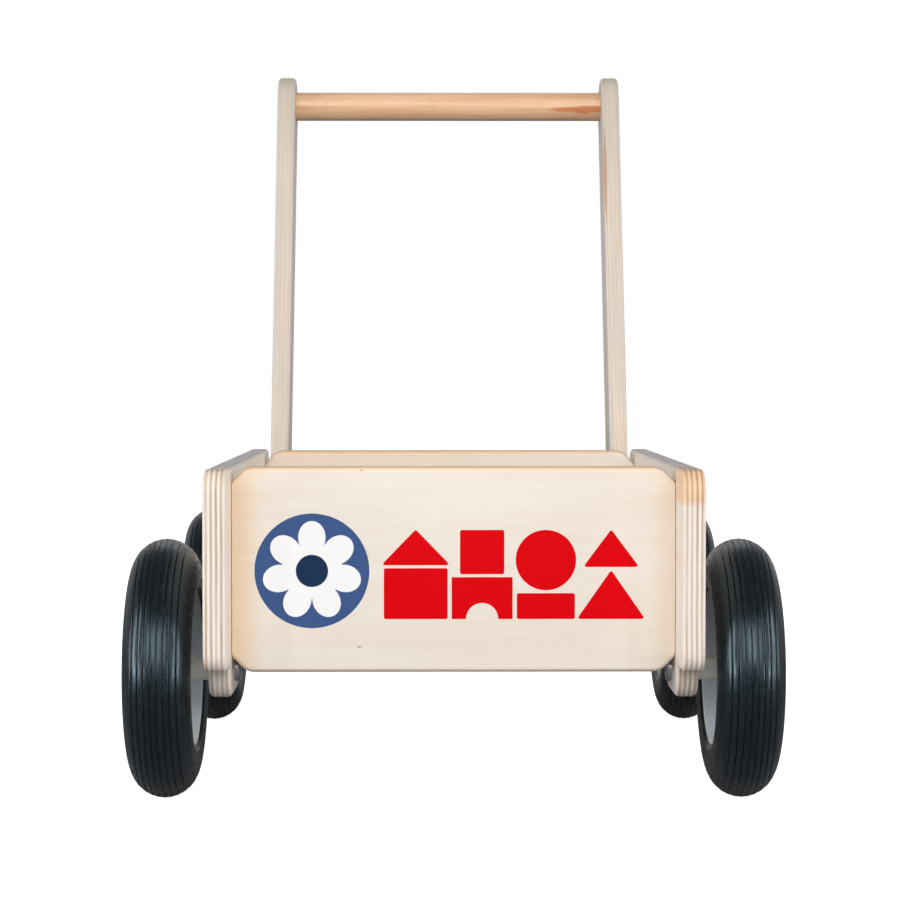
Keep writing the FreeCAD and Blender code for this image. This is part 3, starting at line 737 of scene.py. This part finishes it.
# --------------------------------------------------------------------- stage
floor_me = bpy.data.meshes.new("floor")
S = 40.0
floor_me.from_pydata([(-S, -S, 0), (S, -S, 0), (S, S, 0), (-S, S, 0)], [], [(0, 1, 2, 3)])
floor = bpy.data.objects.new("floor", floor_me)
bpy.context.scene.collection.objects.link(floor)
fm = Mat("floor_pale")
fm.set(Roughness=0.9, Specular_IOR_Level=0.0)
fn = fm.noise(fm.obj, 0.8, 2, 0.5)
flp = fm.nt.nodes.new("ShaderNodeLightPath").outputs["Is Camera Ray"]
fm.put(fm.b.inputs["Base Color"], fm.mix(flp, (0.32, 0.32, 0.33, 1.0), fm.shade((0.80, 0.80, 0.80, 1.0), fm.range(fn, 0.3, 0.7, 0.995, 1.005))))
fm.b.inputs["Emission Color"].default_value = (1.0, 1.0, 1.0, 1.0)
fm.put(fm.b.inputs["Emission Strength"], fm.mul(flp, 0.92))
floor_me.materials.append(fm.m)

world = bpy.data.worlds.new("studio")
bpy.context.scene.world = world
world.use_nodes = True
wn = world.node_tree
wn.nodes.clear()
wo = wn.nodes.new("ShaderNodeOutputWorld")
bg = wn.nodes.new("ShaderNodeBackground")
tc = wn.nodes.new("ShaderNodeTexCoord")
sp = wn.nodes.new("ShaderNodeSeparateXYZ")
wn.links.new(tc.outputs["Generated"], sp.inputs[0])


def ramp(sock, a, b):
    n = wn.nodes.new("ShaderNodeMapRange")
    n.interpolation_type = "SMOOTHSTEP"
    wn.links.new(sock, n.inputs[0])
    for i, v in enumerate((a, b, 0.0, 1.0)):
        n.inputs[i + 1].default_value = v
    return n.outputs[0]


def blend(f, a, b):
    n = wn.nodes.new("ShaderNodeMix")
    n.data_type = "RGBA"
    wn.links.new(f, n.inputs[0])
    for q, v in ((6, a), (7, b)):
        if isinstance(v, tuple):
            n.inputs[q].default_value = v
        else:
            wn.links.new(v, n.inputs[q])
    return n.outputs[2]


# room light: bright walls, dimmer ceiling; seen directly the backdrop is white
wall = blend(ramp(sp.outputs[1], -0.6, 0.6), (0.16, 0.16, 0.162, 1.0), (0.42, 0.42, 0.42, 1.0))
room = blend(ramp(sp.outputs[2], 0.15, 0.65), wall, (0.15, 0.156, 0.166, 1.0))
lp = wn.nodes.new("ShaderNodeLightPath")
wn.links.new(blend(lp.outputs["Is Camera Ray"], room, (1.0, 1.0, 1.0, 1.0)), bg.inputs[0])
bg.inputs[1].default_value = 1.0
wn.links.new(bg.outputs[0], wo.inputs[0])


def area(name, loc, target, size, power, colour=(1, 1, 1), size_y=None):
    l = bpy.data.lights.new(name, "AREA")
    l.energy, l.color, l.size = power, colour, size
    if size_y:
        l.shape, l.size_y = "RECTANGLE", size_y
    o = bpy.data.objects.new(name, l)
    o.location = loc
    o.rotation_euler = (Vector(target) - Vector(loc)).to_track_quat("-Z", "Y").to_euler()
    bpy.context.scene.collection.objects.link(o)
    return o


# a broad front bank, two tall narrow strips, side strips, two low ones, a soft light behind
area("front_bank", (0.0, -4.6, 2.2), (0, 0, 0.2), 4.4, 152.0, (1.0, 0.990, 0.978), 2.6)
area("strip_left", (-2.35, -2.85, 1.5), (0, 0, 0.25), 0.26, 15.0, (1.0, 0.995, 0.99), 2.9)
area("strip_right", (2.1, -3.05, 1.5), (0, 0, 0.25), 0.26, 15.0, (1.0, 0.995, 0.99), 2.9)
area("side_left", (-3.4, -0.9, 1.1), (0, -0.1, 0.2), 1.0, 46.0, (0.98, 0.99, 1.0), 2.2)
area("side_right", (3.4, -0.9, 1.1), (0, -0.1, 0.2), 1.0, 40.0, (0.98, 0.99, 1.0), 2.2)
area("low_left", (-1.6, -0.95, 0.09), (0.14, -0.15, 0.06), 0.6, 4.0, (0.97, 0.985, 1.0), 0.12)
area("low_right", (1.6, -0.95, 0.09), (-0.14, -0.15, 0.06), 0.6, 4.0, (0.97, 0.985, 1.0), 0.12)
area("back_soft", (0.0, 3.6, 2.4), (0, 0, 0.15), 2.4, 8.0, (0.95, 0.975, 1.0), 1.6)

cam_data = bpy.data.cameras.new("camera")
cam_data.sensor_width = 36.0
cam_data.lens = 97.56
cam = bpy.data.objects.new("camera", cam_data)
cam.location = (-0.0118, -1.4956, 0.2311)
cam.rotation_euler = (math.radians(90.0 - 1.857), 0.0, math.radians(-0.436))
cam_data.clip_start, cam_data.clip_end = 0.01, 200.0
bpy.context.scene.collection.objects.link(cam)
bpy.context.scene.camera = cam
bpy.context.scene.view_settings.view_transform = "Standard"
